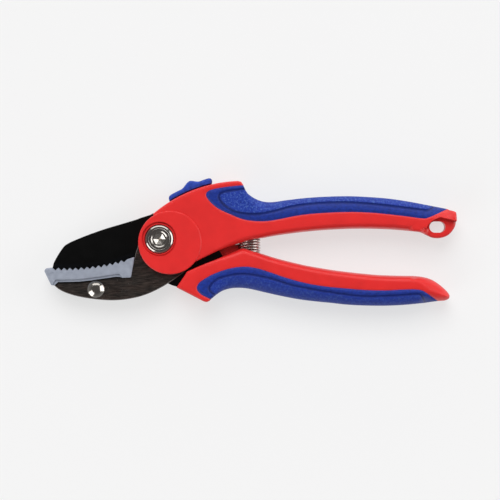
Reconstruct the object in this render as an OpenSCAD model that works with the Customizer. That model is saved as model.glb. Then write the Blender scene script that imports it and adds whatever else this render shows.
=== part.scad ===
// Anvil pruning shears, closed with the catch released, lying on their rear face.
// The pivot axis is Z through the origin, and the rear face of the tool is at z = 0.
// The jaws point along -X, the handles along +X, and the locking slide is on the +Y side.

/* [Overall] */
// Thickness of the tool over the soft grips
tool_t = 18; // [17.5:0.5:20]
// Thickness of the hard handle mouldings, a little under the soft grips
core_t = 17.2; // [16.5:0.1:17.4]
// Edge rounding of the handles
handle_round = 5; // [4:0.5:5.5]
// Edge rounding of the flat head of the upper handle
head_round = 1.2; // [0.8:0.1:1.6]

/* [Steel] */
// Thickness of the blade
blade_t = 3; // [2.8:0.1:3.2]
// Thickness of each jaw plate
plate_t = 2.4; // [2.2:0.1:2.6]
// Gap between the blade and each jaw plate, filled by a thrust washer
side_gap = 0.4; // [0.3:0.05:0.5]
// Width of the ground bevel behind the cutting edge
bevel_w = 4.4; // [3.5:0.1:5]

/* [Pivot] */
// Radius of the bolt's shaft
bolt_r = 4; // [3.9:0.05:4.1]
// Radius of the bolt's head
head_r = 6.8; // [6.4:0.1:6.9]
// Outer radius of the bush pressed into the blade
bush_r = 5.5; // [5.2:0.1:5.8]
// Radial running clearance between the bush and the shaft
running_gap = 0.06; // [0.03:0.01:0.09]
// Width across the flats of the nut
nut_af = 13; // [12:0.5:13]
// Radius of the raised hub disc of the upper handle
disc_r = 15.4; // [15.2:0.1:15.6]

/* [Anvil] */
// Radius of the curve that the anvil and the cutting edge share
anvil_curve_r = 100; // [99.5:0.5:100]
// Number of gripping teeth along each rim
teeth = 12; // [8:1:12]
// Spacing of the teeth
tooth_pitch = 2.78; // [2.4:0.01:2.8]
// Height of the teeth
tooth_h = 1.3; // [0.8:0.1:1.4]
// Thickness of each cheek that overlaps a jaw plate
cheek_t = 1.5; // [1.2:0.1:1.8]
// Radius of the domed rivet heads
rivet_head_r = 4.1; // [3.8:0.1:4.3]

/* [Lock] */
// Radius of the path that the locking slide follows
spine_r = 57.9; // [57.9:0.1:58]
// Travel of the locking slide along its path, in degrees
lock_travel = 5; // [4.5:0.1:5]
// Width of the slide's thumb piece
slide_w = 12; // [10:0.5:13]

/* [Return spring] */
// Outer radius of the coil
coil_r = 5.2; // [5:0.1:5.3]
// Radius of the wire
wire_r = 0.5; // [0.4:0.05:0.55]
// Number of turns
turns = 9.5; // [8:0.5:10]

/* [Hanging eye] */
// Length of the oval hanging hole
eye_l = 7.8; // [7:0.1:8.2]
// Width of the oval hanging hole
eye_w = 5.5; // [5:0.1:6.2]
// Thickness of the tab round the hanging hole
eye_t = 8; // [6:0.5:9]

/* [Hidden] */
$fn = 64;

mid = tool_t / 2;
slot_t = blade_t + 2 * side_gap;
plate_z = slot_t / 2;
plates_t = slot_t + 2 * plate_t;
washer_t = 0.8;
press_gap = 0.02;
past = 60;

red = [0.86, 0.17, 0.18];
blue = [0.13, 0.22, 0.62];
black = [0.06, 0.06, 0.07];
steel = [0.42, 0.38, 0.36];
bright = [0.8, 0.79, 0.77];
zinc = [0.62, 0.66, 0.76];

disc_c = [5.2, -1.7];
spine_c = [36.4, -29.8];
crest_c = [40.5, -38.7];
crest_r = 67;
slide_gap = 0.45;
anvil_c = [-45.4, 84.6];
rivet_c = [-31, -24.4];
eye_c = [135.4, 5.9];
spring_x = 44;
spring_top = 3.9;
spring_bottom = -9.3;
hub_r = 9.4;
floor_drop = 1.2;
edge_gap = 0.3;
floor_r = anvil_curve_r + floor_drop;
edge_r = floor_r - edge_gap;
plate_edge_r = floor_r + 1.4;
slot_r = 26.3;
blade_clear_r = 15;
shoulder_x = 3.9;
chamber_r0 = 51.7;
chamber_r1 = 55.3;
tongue_r0 = 52.8;
tongue_r1 = 55;
stem_a0 = 112.5;
stem_a1 = 117;

// ---- Curves ----

function polar(c, r, a) = c + r * [cos(a), sin(a)];

function arc_points(c, r, a0, a1, n) = [for (i = [0:n]) polar(c, r, a0 + (a1 - a0) * i / n)];

// A point between p[i] and p[i + 1] on the Catmull-Rom curve through the list p.
function on_curve(p, i, t) =
    let (a = p[max(i - 1, 0)], b = p[i], c = p[i + 1], d = p[min(i + 2, len(p) - 1)])
    0.5 * (2 * b + (c - a) * t + (2 * a - 5 * b + 4 * c - d) * t * t + (3 * b - a - 3 * c + d) * t * t * t);

function smooth(p, n = 4) =
    [for (i = [0:len(p) - 2]) for (k = [0:n - 1]) on_curve(p, i, k / n), p[len(p) - 1]];

// The angle round c at which a circle of radius r reaches the line x = x0, on the side of c that s gives.
function angle_at_x(c, r, x0, s) = atan2(s * sqrt(r * r - (x0 - c.x) * (x0 - c.x)), x0 - c.x);

// ---- Outlines ----

// The head's own edge is drawn in a little under the hub disc, which stands over it.
disc_arc = arc_points(disc_c, disc_r - 0.6, 320, 120, 40);

upper_outline = concat(
    arc_points(crest_c, crest_r, angle_at_x(crest_c, crest_r, -3.2, 1), 92.2, 24),
    smooth([[38.5, 28.2], [39.8, 27.8], [40.6, 26.6]], 3),
    smooth([[41.8, 23.9], [43.2, 22], [46.3, 19.85], [50.4, 18.3], [55, 18], [62, 18.95], [71, 20], [81, 20.65],
        [92, 20.9], [102, 20.5], [112, 19.7], [122, 18.2], [131, 16.5], [139.8, 14.8]]),
    smooth([[141, 14.2], [143.6, 13.4], [144.4, 12.2], [144.5, 8], [143.4, 4.9], [140.8, 2], [137.3, 0.7],
        [133.6, 0.7], [130.6, 1.9], [127.5, 3.4], [122, 4.1]]),
    smooth([[121, 4.2], [114, 4.8], [106, 5.15], [97, 5.25], [88, 5], [78, 4.4], [68, 3.4], [58, 2.05],
        [50, 0.6], [43, -1], [36, -2.9], [29, -5.5], [22, -8.8], [17.2, -11.2]]),
    disc_arc
);

upper_grip_area = concat(
    smooth([[41.2, 26.2], [34.4, 25.6], [28.4, 24.7], [24.9, 23.8], [23.3, 22.9], [22.8, 21.7], [23.2, 20.1],
        [25.4, 17.4], [29, 14.6], [34.3, 12], [40, 9.8], [46, 8.75], [52, 8.7], [58, 9.55], [66.5, 11.25],
        [76, 12.4], [90, 13.1], [101, 12.9], [111, 12.05], [120, 11], [128, 10], [130.6, 10.4], [134.5, 12],
        [140.4, 14.8]]),
    [[140.4, 30], [60, 36], [43, 36]]
);

lower_outline = concat(
    [[8.4, -23.5], [13.6, -15.7]],
    smooth([[19.7, -13], [25.5, -10.7], [31.4, -8.3], [36, -6.3], [39.9, -4.6], [42.3, -4.7], [46, -5.8],
        [51, -7.6], [56, -9.2], [62, -10.8], [70, -12.7], [78, -14.2], [87, -15.6], [96, -16.65], [106, -17.6],
        [116, -18], [124, -18.1], [129, -18.7], [133.2, -20.1], [137, -22.6], [140, -25.3], [141.4, -27.4],
        [141.1, -29], [139.2, -29.9], [135.5, -30.2]]),
    smooth([[129, -31.1], [121, -31.9], [112, -32.4], [102, -32.4], [92, -31.95], [84, -31.1], [76, -30.3],
        [68, -29.3], [59, -27.6], [51, -25.8], [44, -24.2], [39, -23.7], [34, -24.1], [29.6, -25.7], [25, -29.2]]),
    smooth([[24.4, -30], [23, -30.6], [21.4, -30.2]], 3)
);

lower_grip_area = concat(
    smooth([[25, -29.2], [21.2, -27.4], [19, -25.6], [18.3, -23.6], [19.4, -21.2], [22.4, -19.1], [26, -17.1],
        [31, -15.2], [36, -13.9], [42, -13.4], [48, -14.3], [55, -16.5], [62, -18.9], [71, -21.3], [80, -22.9],
        [90, -23.9], [100, -24.7], [110, -24.9], [118, -24.5], [124, -24.4], [128, -25.1], [131.8, -27.5],
        [136, -30.4]]),
    [[136, -42], [30, -42]]
);

jaw_top_angle = angle_at_x(anvil_c, plate_edge_r, -13.4, -1);
jaw_tip_angle = angle_at_x(anvil_c, plate_edge_r, -50.6, -1);
plate_outline = concat(
    arc_points(anvil_c, plate_edge_r, jaw_tip_angle, jaw_top_angle, 20),
    smooth([[-12.2, -10.5], [-11.7, -7], [-10.6, -3.8], [-9.9, 0], [-8, 4.8], [-4.6, 9], [0, 10.9], [8, 12],
        [20, 14.5], [34, 15], [46, 12.8], [56, 12.6], [66, 13.8], [75, 14.4], [78, 12.5], [76, 10.2], [66, 8.7],
        [56, 7], [47, 5.8], [40, 5.3], [33, 0.5], [24, -4.6], [17, -9.4], [14.2, -13.4], [11.2, -16.7],
        [5, -21], [0, -24], [-5, -26.4], [-10, -28.1], [-16, -29.3], [-22, -29.8], [-28, -29.6], [-35, -28.8],
        [-41, -27.6], [-46, -26], [-49.4, -24.2], [-51.3, -22.4]])
);
anchor_holes = [[58, 9.9], [69, 11.6]];

tooth_line = [for (k = [0:teeth]) for (peak = k < teeth ? [0, 1] : [0])
    let (x = -50.6 + tooth_pitch * (k + peak / 2), r = anvil_curve_r - tooth_h * peak)
    polar(anvil_c, r, angle_at_x(anvil_c, r, x, -1))];
anvil_top = concat(
    [[-55.8, -16], [-55.9, -15.4], [-55.6, -14.7], [-55, -14.2], [-54, -14], [-52.4, -13.9]],
    tooth_line,
    [[-15.6, -9.8], [-12.6, -8.8], [-12.1, -9.1], [-13.8, -18.3], [-14.2, -18.7], [-17.9, -18.9]]
);
anvil_foot = [[-52, -22.5], [-52.5, -22.4], [-52.8, -22.1]];
// The cheeks end in a crest, and below it they go on as a thinner ledge.
anvil_face = concat(
    anvil_top,
    [[-19.6, -17], [-27.4, -18.1], [-33.6, -19], [-39.3, -19.6], [-50.4, -19.9]],
    anvil_foot
);
anvil_outline = concat(anvil_top, [[-19.2, -18.4], [-21.2, -18.3], [-27.4, -19.2], [-33.6, -20.1], [-39.3, -20.7],
    [-49.3, -20.9], [-51.3, -22.6]], anvil_foot);
ledge_t = 0.5;
anvil_web = [[-37.5, -17], [-24.5, -16.4], [-26, -27.6], [-35.5, -28]];

edge_from = angle_at_x(anvil_c, edge_r, -13, -1);
edge_to = angle_at_x(anvil_c, edge_r, -52, -1);
blade_outline = concat(
    smooth([[-52.4, -14], [-51.6, -11.3], [-49.2, -7], [-46.7, -3.5], [-44.7, -2.1], [-42.3, -0.9], [-36, 1.7],
        [-27, 4.9], [-18, 7.6], [-12, 9.4], [-9, 10.5], [-6, 11.45], [-4.6, 11.9], [-3.8, 12.35], [-3, 12.7],
        [-2.4, 12.7], [-1.6, 12.5], [0, 12.7], [shoulder_x, 13.8]]),
    arc_points([0, 0], hub_r, 65.5, -12, 16),
    smooth([[14, -2.2], [20, -2.6], [25, -3.3], [28.4, -4.7], [29.3, -6], [31.4, -9], [35, -10.9], [42, -12],
        [52, -13.9], [64, -17], [76, -19.7], [81, -21.2], [82, -23], [80, -24.7], [70, -23.4], [60, -21],
        [50, -18.2], [42, -16.9], [35, -17.3], [27, -20], [20, -23.4], [14, -24.4], [8.3, -23.2], [4.4, -21.8],
        [-1, -18], [-4.2, -13]], 3),
    arc_points([0, 0], 12.2, 245, 220, 5),
    arc_points(anvil_c, edge_r, edge_from, edge_to, 24)
);
tang_holes = [[55, -17], [68, -20.6]];

// ---- Building blocks ----

// A slab of thickness t, centred on the tool's middle plane, whose edge is rounded by radius r in steps.
module rounded_slab(t, r, steps = 3) {
    for (k = [0:steps]) {
        a = 90 * k / steps;
        translate([0, 0, mid])
            linear_extrude(t - 2 * r * (1 - sin(a)), center = true)
                offset(delta = -r * (1 - cos(a)))
                    children();
    }
}

// A flat layer between heights z0 and z1 above the tool's middle plane.
module layer(z0, z1) {
    translate([0, 0, mid + z0]) linear_extrude(z1 - z0) children();
}

module ring(r_out, r_in, z0, z1) {
    translate([0, 0, mid + z0]) difference() {
        cylinder(r = r_out, h = z1 - z0);
        translate([0, 0, -1]) cylinder(r = r_in, h = z1 - z0 + 2);
    }
}

// A sector of a flat ring round c, in the plane of the blade.
module sector(c, r0, r1, a0, a1, t) {
    translate([c.x, c.y, mid]) rotate([0, 0, a0])
        rotate_extrude(angle = a1 - a0) translate([r0, -t / 2]) square([r1 - r0, t]);
}

module path_sector(r0, r1, a0, a1, t) {
    sector(spine_c, r0, r1, a0, a1, t);
}

module spring_pocket(y0, y1) {
    translate([spring_x, y1, mid]) rotate([90, 0, 0]) cylinder(r = coil_r + 0.6, h = y1 - y0);
}

module spring_stud(y0, y1) {
    translate([spring_x, y1, mid]) rotate([90, 0, 0]) cylinder(r = coil_r - 2 * wire_r - 0.8, h = y1 - y0);
}

// The part of a handle under its soft grip: the outline drawn in by the grip's wall thickness.
module grip_rib(wall = 2.4, t = 11) {
    intersection() {
        layer(-t / 2, t / 2) offset(delta = -wall) children(0);
        layer(-t / 2, t / 2) offset(delta = 0.5) children(1);
    }
}

// ---- Anvil lever: upper handle, jaw plates, anvil and pivot ----

module plate_shape(z0) {
    layer(z0, z0 + plate_t) difference() {
        polygon(plate_outline);
        circle(r = bolt_r + 0.1);
        translate(rivet_c) circle(r = 2.5 + press_gap);
        for (p = anchor_holes) translate(p) circle(r = 1.6);
    }
}

module front_jaw_plate() {
    color(steel) plate_shape(plate_z);
}

module rear_jaw_plate() {
    color(steel) plate_shape(-plate_z - plate_t);
}

// The opening in the middle plane of the upper handle: blade hub, tang, jaws side and the lock's chamber.
module upper_slot() {
    layer(-plate_z, plate_z) {
        circle(r = blade_clear_r);
        polygon([[-past, -past], [-past, past], [1.2, past], [1.2, 0], [14, -0.6], [25, -1.6], [30, -2.4],
            [36.4, -0.8], [38.2, -0.8], [38.2, -past]]);
    }
    path_sector(chamber_r0, chamber_r1, 96, 131, slot_t);
    path_sector(chamber_r1 - 0.5, spine_r + 3, stem_a0 - 0.5, stem_a1 + lock_travel + 0.5, slot_t);
}

module pivot_recess() {
    translate([0, 0, -1]) cylinder(r = bolt_r + 0.3, h = tool_t + 2);
    translate([0, 0, mid + plates_t / 2]) cylinder(r = head_r + 0.35, h = past);
    translate([0, 0, tool_t - 0.8]) cylinder(r = 8.3, h = past);
    translate([0, 0, mid - plates_t / 2 - washer_t]) cylinder(r = 7.4, h = washer_t);
    translate([0, 0, -past])
        cylinder(r = (nut_af + 0.3) / sqrt(3), h = past + mid - plates_t / 2 - washer_t, $fn = 6);
}

// What is cut away each side of the hanging tab.
module eye_recess() {
    for (side = [-1, 1])
        translate([0, 0, mid + side * (eye_t / 2 + past / 2)])
            linear_extrude(past, center = true)
                polygon([[129.8, -5], [129.8, 5.6], [131, 7.4], [133, 9.2], [136.6, 10.7], [150, 7.4], [150, -5]]);
}

module eye_hole() {
    for (side = [-1, 1])
        translate([eye_c.x + side * (eye_l - eye_w) / 2, eye_c.y, -1]) cylinder(r = eye_w / 2, h = tool_t + 2);
    translate([eye_c.x - (eye_l - eye_w) / 2, eye_c.y - eye_w / 2, -1]) cube([eye_l - eye_w, eye_w, tool_t + 2]);
}

module upper_handle() {
    color(red) difference() {
        union() {
            difference() {
                rounded_slab(core_t, handle_round) polygon(upper_outline);
                layer(-past, past) polygon(upper_grip_area);
            }
            intersection() {
                rounded_slab(core_t - 0.4, head_round, 2) polygon(upper_outline);
                layer(-past, past) difference() {
                    translate([-past, -past]) square([past + 34, 2 * past]);
                    polygon(upper_grip_area);
                }
            }
            grip_rib() {
                polygon(upper_outline);
                polygon(upper_grip_area);
            }
            translate([disc_c.x, disc_c.y, 0]) cylinder(r = disc_r, h = tool_t);
        }
        upper_slot();
        plate_shape(plate_z);
        plate_shape(-plate_z - plate_t);
        pivot_recess();
        eye_recess();
        eye_hole();
        difference() {
            spring_pocket(-8, spring_top + 0.1);
            spring_stud(0.6, spring_top + 1);
        }
    }
}

module upper_grip() {
    color(blue) difference() {
        intersection() {
            rounded_slab(tool_t, handle_round + 0.4) polygon(upper_outline);
            layer(-past, past) polygon(upper_grip_area);
        }
        grip_rib() {
            polygon(upper_outline);
            polygon(upper_grip_area);
        }
    }
}

// The anvil's cheeks lap over both jaw plates, and its web goes down between them to the rivet.
module anvil() {
    color(zinc) difference() {
        union() {
            layer(-plates_t / 2 - cheek_t, plates_t / 2 + cheek_t) polygon(anvil_face);
            layer(-plates_t / 2 - ledge_t, plates_t / 2 + ledge_t) polygon(anvil_outline);
            layer(-plate_z, plate_z) polygon(anvil_web);
        }
        layer(-plate_z, plate_z)
            polygon(concat(
                arc_points(anvil_c, floor_r, jaw_top_angle + 3, angle_at_x(anvil_c, floor_r, -53.4, -1), 24),
                [[-53.4, 0], [-5, 0]]
            ));
        plate_shape(plate_z);
        plate_shape(-plate_z - plate_t);
        for (z0 = [plate_z, -plate_z - plate_t])
            layer(z0, z0 + plate_t) translate(rivet_c) circle(r = 3);
        layer(-plate_z, plate_z) translate(rivet_c) circle(r = 2.5 + press_gap);
    }
}

module anvil_rivet() {
    dome_h = 1.7;
    dome_r = (rivet_head_r * rivet_head_r + dome_h * dome_h) / (2 * dome_h);
    color(bright) translate([rivet_c.x, rivet_c.y, mid]) {
        cylinder(r = 2.5, h = plates_t, center = true);
        for (side = [0, 1]) mirror([0, 0, side]) difference() {
            translate([0, 0, plates_t / 2 + dome_h - dome_r]) sphere(r = dome_r);
            translate([0, 0, -past + plates_t / 2]) cylinder(r = past, h = past);
        }
    }
}

module pivot_bolt() {
    under_head = plates_t / 2 + washer_t;
    head_top = mid - 1.1;
    color(bright) difference() {
        union() {
            translate([0, 0, 0.3]) cylinder(r = bolt_r, h = mid + under_head - 0.3);
            translate([0, 0, mid + under_head]) cylinder(r = head_r, h = head_top - under_head - 0.7);
            translate([0, 0, mid + head_top - 0.7]) cylinder(r1 = head_r, r2 = head_r - 0.8, h = 0.7);
        }
        translate([0, 0, mid + head_top - 2.2]) cylinder(r = 6 / sqrt(3), h = 3, $fn = 6);
        translate([0, 0, mid + head_top - 0.5]) cylinder(r1 = 3.3, r2 = 3.9, h = 0.51);
        translate([0, 0, mid + head_top - 3.4]) cylinder(r1 = 0, r2 = 2.9, h = 1.21);
    }
}

module bolt_washer() {
    color(bright) ring(head_r + 0.1, bolt_r + 0.15, plates_t / 2, plates_t / 2 + washer_t);
}

module nut_washer() {
    color(steel) ring(7.2, bolt_r + 0.15, -plates_t / 2 - washer_t, -plates_t / 2);
}

module pivot_nut() {
    color(steel) difference() {
        translate([0, 0, 0.2])
            cylinder(r = nut_af / sqrt(3), h = mid - plates_t / 2 - washer_t - 0.2, $fn = 6);
        translate([0, 0, -1]) cylinder(r = bolt_r + press_gap, h = mid);
    }
}

module thrust_washer(z0) {
    color(bright) ring(9, bush_r + 0.2, z0 + press_gap, z0 + side_gap - press_gap);
}

module front_thrust_washer() {
    thrust_washer(blade_t / 2);
}

module rear_thrust_washer() {
    thrust_washer(-blade_t / 2 - side_gap);
}

// ---- Blade lever: blade, bush and lower handle ----

// The wedge of steel ground off one side of the cutting edge.
module bevel_cut() {
    edge_half = 0.15;
    rotate([0, 0, edge_to - 2])
        rotate_extrude(angle = edge_from - edge_to + 2)
            polygon([[edge_r - bevel_w, blade_t / 2], [edge_r, edge_half], [edge_r + 2, edge_half],
                [edge_r + 2, blade_t / 2 + 1], [edge_r - bevel_w, blade_t / 2 + 1]]);
}

module blade() {
    color(black) difference() {
        layer(-blade_t / 2, blade_t / 2) difference() {
            polygon(blade_outline);
            circle(r = bush_r + press_gap);
            for (p = tang_holes) translate(p) circle(r = 1.8);
        }
        for (side = [0, 1])
            translate([anvil_c.x, anvil_c.y, mid]) mirror([0, 0, side]) bevel_cut();
    }
}

module pivot_bush() {
    color(bright) ring(bush_r, bolt_r + running_gap, -plate_z + 0.05, plate_z - 0.05);
}

module tang_shape() {
    layer(-blade_t / 2, blade_t / 2) difference() {
        polygon(blade_outline);
        for (p = tang_holes) translate(p) circle(r = 1.8);
    }
}

module lower_handle() {
    color(red) difference() {
        union() {
            difference() {
                rounded_slab(core_t, handle_round) polygon(lower_outline);
                layer(-past, past) polygon(lower_grip_area);
            }
            intersection() {
                rounded_slab(core_t - 0.4, head_round, 2) polygon(lower_outline);
                layer(-past, past) difference() {
                    translate([-past, -past]) square([past + 30, 2 * past]);
                    polygon(lower_grip_area);
                }
            }
            grip_rib() {
                polygon(lower_outline);
                polygon(lower_grip_area);
            }
            layer(-blade_t / 2, -0.4)
                polygon([[28, -9], [28, -5.2], [29.4, -3.9], [31, -3.2], [36.2, -2.4], [37.4, -2.7], [38.3, -3.5],
                    [38.3, -8], [34, -12]]);
            layer(-6.5, -4)
                polygon([[34, -10], [34.9, -3.6], [36.5, -3.1], [38.5, -2.5], [39.7, -2.2], [39.7, -8],
                    [38, -10]]);
        }
        translate([0, 0, mid - plates_t / 2 - 0.4]) cylinder(r = slot_r, h = plates_t + 0.8);
        tang_shape();
        difference() {
            spring_pocket(spring_bottom - 0.1, 2);
            spring_stud(spring_bottom - 1, -6.4);
        }
    }
}

module lower_grip() {
    color(blue) difference() {
        intersection() {
            rounded_slab(tool_t, handle_round + 0.4) polygon(lower_outline);
            layer(-past, past) polygon(lower_grip_area);
        }
        grip_rib() {
            polygon(lower_outline);
            polygon(lower_grip_area);
        }
    }
}

// ---- Lock ----

slide_outline = concat(
    arc_points(crest_c, crest_r + slide_gap, 121.9, 103, 16),
    smooth([[25.6, 28.2], [25.3, 29.2], [24.5, 29.65], [23.4, 29.5], [21.5, 28.9], [18.9, 28.05], [15.6, 28.4],
        [14.3, 28.1], [13.1, 27], [12.2, 25.8], [11, 24.5], [8.8, 23.35], [6.2, 22], [5, 21.1], [4.6, 20.3],
        [4.6, 19.5]], 3)
);

// Turns its children along the slide's path, from the locked place back to the released one.
module released() {
    translate(spine_c) rotate([0, 0, -lock_travel]) translate(-spine_c) children();
}

// The tip stands in front of the blade's shoulder when locked, so it is cut square there.
module tongue_shape() {
    released() intersection() {
        path_sector(tongue_r0, tongue_r1, 108, 134, 2.8);
        layer(-2, 2) translate([shoulder_x + 0.4, 0]) square(past);
    }
    path_sector(tongue_r1 - 0.5, spine_r + 1, stem_a0, stem_a1, 2.8);
}

module lock_slide() {
    color(blue) difference() {
        union() {
            layer(-slide_w / 2, slide_w / 2) polygon(slide_outline);
            sector(crest_c, crest_r + 0.25, crest_r + 1.5, 103.4, 121, 5);
        }
        tongue_shape();
    }
}

module lock_tongue() {
    color(steel) tongue_shape();
}

// A leaf that lies along the chamber's inner wall, with a bump that presses up on the tongue.
module lock_detent_spring() {
    color(bright) {
        path_sector(chamber_r0 + 0.05, chamber_r0 + 0.45, 97, 115, 2.4);
        translate(polar(spine_c, chamber_r0 + 0.5, 110)) translate([0, 0, mid])
            cylinder(r = 0.45, h = 2.4, center = true);
    }
}

// ---- Return spring ----

// A closed tube of radius r swept along a helix about the Y axis, from height y1 down to y0.
module helix(r_mean, r, y0, y1, n_turns, per_turn = 20, sides = 8) {
    n = floor(n_turns * per_turn);
    points = [for (i = [0:n]) for (s = [0:sides - 1])
        let (a = 360 * i / per_turn, b = 360 * s / sides, rr = r_mean + r * cos(b))
        [rr * cos(a), y1 + (y0 - y1) * i / n + r * sin(b), rr * sin(a)]];
    walls = [for (i = [0:n - 1]) for (s = [0:sides - 1])
        let (k = i * sides, t = (s + 1) % sides) [k + s, k + t, k + sides + t, k + sides + s]];
    first = [for (s = [0:sides - 1]) sides - 1 - s];
    last = [for (s = [0:sides - 1]) n * sides + s];
    polyhedron(points, concat(walls, [first, last]));
}

module return_spring() {
    color(bright) translate([spring_x, 0, mid])
        helix(coil_r - wire_r, wire_r, spring_bottom + wire_r, spring_top - wire_r, turns);
}

upper_handle();
upper_grip();
front_jaw_plate();
rear_jaw_plate();
anvil();
anvil_rivet();
pivot_bolt();
bolt_washer();
pivot_nut();
nut_washer();
front_thrust_washer();
rear_thrust_washer();
blade();
pivot_bush();
lower_handle();
lower_grip();
lock_slide();
lock_tongue();
lock_detent_spring();
return_spring();
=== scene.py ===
"""Looks for the anvil pruning shears: moulded handles and grips, coated blade, brushed plates and bright
hardware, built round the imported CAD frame. Shapes are worked out in millimetres and scaled to metres."""

import math

import bpy
import numpy as np
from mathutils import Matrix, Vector
from mathutils.geometry import delaunay_2d_cdt


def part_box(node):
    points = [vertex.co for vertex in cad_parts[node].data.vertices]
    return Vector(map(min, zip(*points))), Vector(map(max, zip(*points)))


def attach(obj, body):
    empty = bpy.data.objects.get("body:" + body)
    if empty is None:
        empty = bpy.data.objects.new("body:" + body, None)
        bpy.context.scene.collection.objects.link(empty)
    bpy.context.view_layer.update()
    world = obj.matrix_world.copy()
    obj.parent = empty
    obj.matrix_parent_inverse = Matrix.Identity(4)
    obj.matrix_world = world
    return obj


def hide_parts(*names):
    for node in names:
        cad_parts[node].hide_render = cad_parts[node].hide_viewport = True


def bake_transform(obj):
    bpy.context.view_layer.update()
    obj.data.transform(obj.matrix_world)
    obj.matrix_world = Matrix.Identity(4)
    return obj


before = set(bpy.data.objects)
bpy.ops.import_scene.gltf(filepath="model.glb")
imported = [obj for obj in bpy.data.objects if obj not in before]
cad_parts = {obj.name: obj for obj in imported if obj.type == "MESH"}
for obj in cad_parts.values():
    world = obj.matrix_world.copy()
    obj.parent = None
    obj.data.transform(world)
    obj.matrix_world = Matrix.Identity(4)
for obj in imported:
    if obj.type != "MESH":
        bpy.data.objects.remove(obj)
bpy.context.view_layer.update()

MM = 0.001


def levels(node):
    """Lowest and highest z of a CAD node, in millimetres."""
    low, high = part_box(node)
    return low.z / MM, high.z / MM


# Heights that come from the frame
TOOL_LOW, TOOL_HIGH = levels("upper_handle")
MID = (TOOL_LOW + TOOL_HIGH) / 2
HALF = (TOOL_HIGH - TOOL_LOW) / 2
HEAD_HALF = HALF - 0.6
CORE_HALF = levels("lower_handle")[1] - MID
PLATE_IN = levels("front_jaw_plate")[0] - MID
PLATE_OUT = levels("front_jaw_plate")[1] - MID
BLADE_HALF = levels("blade")[1] - MID
ANVIL_HALF = levels("anvil")[1] - MID
SLIDE_HALF = levels("lock_slide")[1] - MID
BOLT_TOP = levels("pivot_bolt")[1]
HEAD_SEAT = levels("bolt_washer")[1]

# Centres and radii of the design, in the frame's plane. The catch slides round SPINE, and the head's
# visible top is an arc round CREST.
PIVOT = (0, 0)
DISC = (5.2, -1.7)
DISC_R = 15.4
SPINE = (36.4, -29.8)
SPINE_R = 57.9
CREST = (40.5, -38.7)
CREST_R = 67.0
ANVIL_CENTRE = (-45.4, 84.6)
ANVIL_R = 100.0
EYE = (135.4, 5.9)
EYE_LENGTH = 7.8
EYE_WIDTH = 5.5
RIVET = (-31.0, -24.4)
SPRING_X = 44.0

# The mouldings and the holes in them
SEAM_DEPTH = 0.25
SEAM_WIDTH = 0.7
GRIP_LIP = 0.3
GROOVE_DEPTH = 0.55
GROOVE_WIDTH = 0.55
GRAIN_RISE = 0.3
MOULD_LINE = 0.12
MOULD_LINE_HALF = 0.22
CREASE = 0.14
TAB_HALF = 4.0
DISC_ROUND = 0.55
HUB_ROOM_R = 15
NOSE_ROOM_R = 26.3
BOLT_HOLE = 7.15
RING_R = 8.3
NUT_HOLE = 13.3 / math.sqrt(3)
POCKET_R = 5.8
STUD_R = 3.4

# The catch, with angles round SPINE in degrees
SLIDE_GAP = 0.45
SLIDE_ROUND = 1.1
FOOT_HALF = 2.5
CHAMBER_R = (51.7, 55.3)
CHAMBER = (96, 131)
STEM_SLOT_R = (54.8, 61)
STEM_SLOT = (112, 122.5)
STEM = (112.5, 116.5)
STEM_HALF = 1.42

# Steel parts
TEETH = 12
TOOTH_PITCH = 2.78
TOOTH_HEIGHT = 1.3
BEVEL = 4.4
EDGE_HALF = 0.15
BUSH_HOLE = 5.52
RIVET_HOLE = 2.52
RIVET_HEAD_R = 4.1
RIVET_RISE = 1.7
BOLT_HEAD_R = 6.8
BOLT_SHANK_R = 4
SOCKET_R = 6.2 / math.sqrt(3)
SOCKET_DEPTH = 1.6
COIL_TOP = 3.4
COIL_BOTTOM = -8.8
COIL_TURNS = 9.5
COIL_R = 4.7
WIRE_R = 0.5

# Colours
RED = (0.67, 0.023, 0.022)
BLUE = (0.008, 0.029, 0.25)
BLUE_PALE = (0.07, 0.14, 0.4)
# Painted shade for the bottom of the grips' groove
BLUE_GROOVE_SHADE = (0.003, 0.01, 0.1)
SLIDE_BLUE = (0.02, 0.05, 0.31)

# Camera, table and lamps
VIEW_X = 44.1
VIEW_Y = -5.3
VIEW_WIDTH = 244.5
CAMERA_HEIGHT = 1100.0
SENSOR = 36
TABLE_TOP = -0.3
TABLE_HALF = 3000
TABLE_GREY = 0.262
TABLE_GLOW = 0.62
LAMP_AIM = (44, -5, 9)
KEY = 2.0
WALL_LIGHT = 2.2
PANEL_LIGHT = 1.4


# ---- Curves in the plane ----


def arc(centre, radius, start, end, count):
    """Points along a circle between two angles in degrees, in count steps."""
    angles = np.radians(np.linspace(start, end, count + 1))
    return np.column_stack([centre[0] + radius * np.cos(angles), centre[1] + radius * np.sin(angles)])


def smooth(points, count=10):
    """The Catmull-Rom curve through the points, count steps to a span."""
    p = np.array(points, float)
    padded = np.vstack([p[0], p, p[-1]])
    t = (np.arange(count) / count)[:, None]
    spans = []
    for a, b, c, d in zip(padded, padded[1:], padded[2:], padded[3:]):
        second = 2 * a - 5 * b + 4 * c - d
        third = 3 * b - a - 3 * c + d
        spans.append(0.5 * (2 * b + (c - a) * t + second * t**2 + third * t**3))
    return np.vstack([*spans, p[-1:]])


def angle_at_x(centre, radius, x, side):
    """Angle round the centre where the circle reaches x, above it for side 1 and below for side -1."""
    return math.degrees(math.atan2(side * math.sqrt(radius**2 - (x - centre[0]) ** 2), x - centre[0]))


def fine(loop, step, closed=True):
    """The same line with extra points, so that none of its segments is longer than step."""
    loop = np.array(loop, float)
    ends = np.roll(loop, -1, axis=0) if closed else loop[1:]
    out = []
    for a, b in zip(loop, ends):
        parts = max(1, math.ceil(np.linalg.norm(b - a) / step))
        if np.linalg.norm(b - a) > 1e-6:
            out.extend(a + (b - a) * i / parts for i in range(parts))
    if not closed:
        out.append(loop[-1])
    return np.array(out)


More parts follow.
